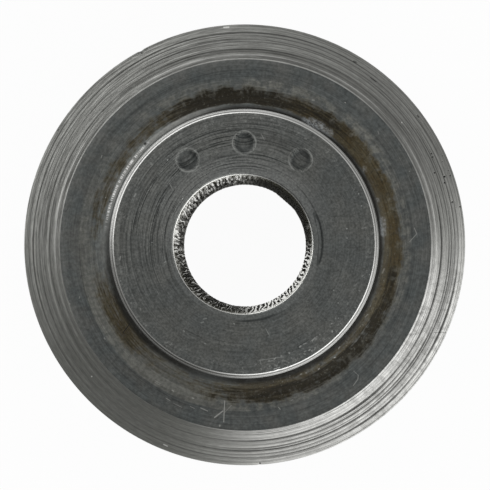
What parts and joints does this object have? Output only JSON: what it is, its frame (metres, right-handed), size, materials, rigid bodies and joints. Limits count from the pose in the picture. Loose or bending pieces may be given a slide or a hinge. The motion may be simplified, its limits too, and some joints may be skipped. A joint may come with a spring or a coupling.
{
  "type": "pipe cutter wheel",
  "caption": "Turned tool-steel cutting wheel: a wide bored hub that runs on a pin, and a thin round blade with a rounded root, a tapered flank and a grooved bevel that ends in a sharp edge.",
  "frame": {"origin": "centre of the bore, in the plane of the cutting edge", "axes": "+Z along the bore's axis, out of the hub face with the punch marks, which faces up when the wheel lies on its other hub face"},
  "size_m": [0.033, 0.033, 0.019],
  "materials": {
    "tool_steel": "dark turned tool steel, brighter ground bevel and hub rims, brown stain round the blade's root"
  },
  "bodies": {
    "root": {"cutter_wheel": "tool_steel"}
  },
  "joints": []
}
